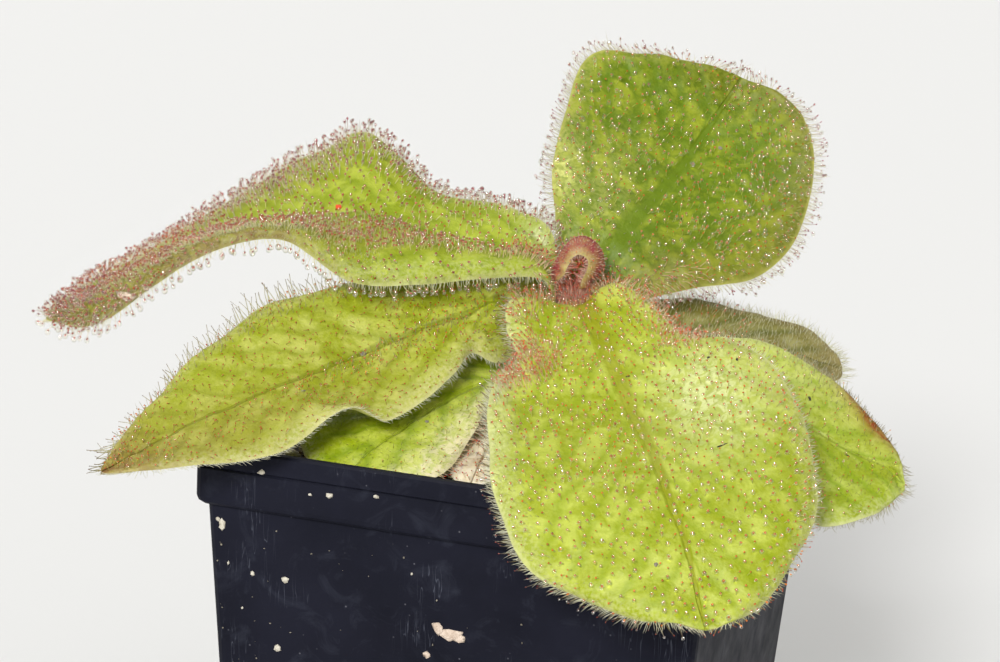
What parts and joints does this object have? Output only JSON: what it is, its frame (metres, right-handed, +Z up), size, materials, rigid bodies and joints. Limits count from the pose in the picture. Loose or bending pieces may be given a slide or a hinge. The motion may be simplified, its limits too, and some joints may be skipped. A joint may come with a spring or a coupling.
{
  "type": "potted sundew",
  "caption": "Potted sundew: a broad-leaved carnivorous rosette with sticky, dew-tipped hairs, growing in a square black plastic nursery pot of soil.",
  "frame": {"origin": "the middle of the pot's underside, on the surface that it stands on", "axes": "+Z up; X and Y along the sides of the square pot, with the largest leaf hanging over its corner towards +X and -Y"},
  "size_m": [0.1561, 0.1252, 0.1467],
  "materials": {
    "pot_plastic": "satin black plastic, dusty, with fine scratches",
    "soil": "dark crumbly peat mix",
    "stem": "brown-green fibrous stem",
    "leaf_green": "yellow-green leaf with pale mottling, a soft sheen and sticky hairs",
    "leaf_lime": "lime-green young leaf with red-tipped dewy hairs",
    "leaf_olive": "olive-green older leaf",
    "leaf_dry": "dry whitish-brown dead leaf",
    "leaf_red": "red, still curled new leaf"
  },
  "bodies": {
    "root": {"pot": "pot_plastic", "soil": "soil", "stem": "stem", "leaf_front": "leaf_green", "leaf_left": "leaf_lime", "leaf_lower_left": "leaf_green", "leaf_under_left": "leaf_lime", "leaf_upper_right": "leaf_lime", "leaf_right_back": "leaf_olive", "leaf_right": "leaf_green", "leaf_back": "leaf_green", "leaf_dry": "leaf_dry", "leaf_new": "leaf_red"}
  },
  "joints": []
}
